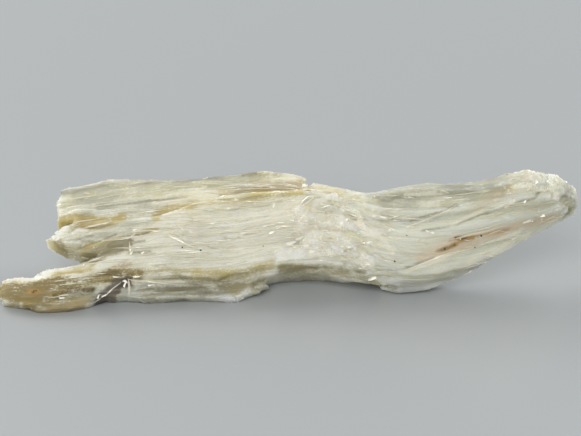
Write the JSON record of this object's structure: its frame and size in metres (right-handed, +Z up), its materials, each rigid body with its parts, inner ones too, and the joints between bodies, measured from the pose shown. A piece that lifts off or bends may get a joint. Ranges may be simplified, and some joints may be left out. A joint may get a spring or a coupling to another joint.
{
  "type": "leiteite specimen",
  "caption": "Loose hand specimen of leiteite: a pale, pearly sliver of stacked cleavage plates, bent at an elbow, that lies flat on a shelf.",
  "frame": {"origin": "middle of the specimen's box, on the surface that it rests on", "axes": "+X along the sliver towards the lifted end, -Y towards the broad face that it shows, +Z up"},
  "size_m": [0.0508, 0.0124, 0.0113],
  "materials": {
    "leiteite": "pearly, translucent, iron-stained in places"
  },
  "bodies": {
    "root": {"cleavage_mass": "leiteite"}
  },
  "joints": []
}
